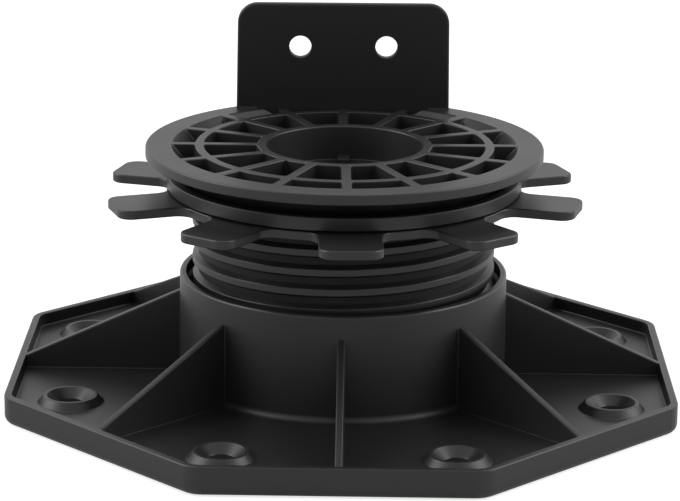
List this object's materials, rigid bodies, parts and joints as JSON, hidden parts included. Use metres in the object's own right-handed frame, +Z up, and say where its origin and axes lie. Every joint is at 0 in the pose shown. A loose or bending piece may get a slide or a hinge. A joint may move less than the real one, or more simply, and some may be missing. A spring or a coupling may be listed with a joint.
{
  "type": "raised floor pedestal",
  "caption": "Adjustable plastic screw pedestal for a raised floor or deck, with an octagonal threaded base, a paddle ring and a swivelling ribbed head with a joist tab.",
  "frame": {"origin": "centre of the octagonal base, on the floor that it stands on", "axes": "+Z up along the screw's axis; -Y towards the front side of the octagon; +Y towards the joist tab; +X to the right seen from the front"},
  "size_m": [0.2, 0.2, 0.1107],
  "materials": {
    "black_plastic": "black moulded plastic, satin to matte, with a fine moulded texture"
  },
  "bodies": {
    "base": {"base": "black_plastic"},
    "bearing_disc": {"bearing_disc": "black_plastic"},
    "height_screw": {"height_screw": "black_plastic"},
    "head": {"head": "black_plastic"}
  },
  "joints": [
    {"name": "height", "type": "slide", "parent": "base", "child": "bearing_disc", "axis": [0, 0, 1], "range_m": [-0.0231, 0.0034]},
    {"name": "screw_turn", "type": "hinge", "parent": "bearing_disc", "child": "height_screw", "pos_m": [0, 0, 0.0623], "axis": [0, 0, 1], "range_deg": [-1380, 198]},
    {"name": "head_swivel", "type": "hinge", "parent": "bearing_disc", "child": "head", "pos_m": [0, 0, 0.0668], "axis": [0, 0, 1], "continuous": true}
  ],
  "couplings": [
    {"joint": "height", "follows": "screw_turn", "m_per_rad": 0.00095493}
  ]
}
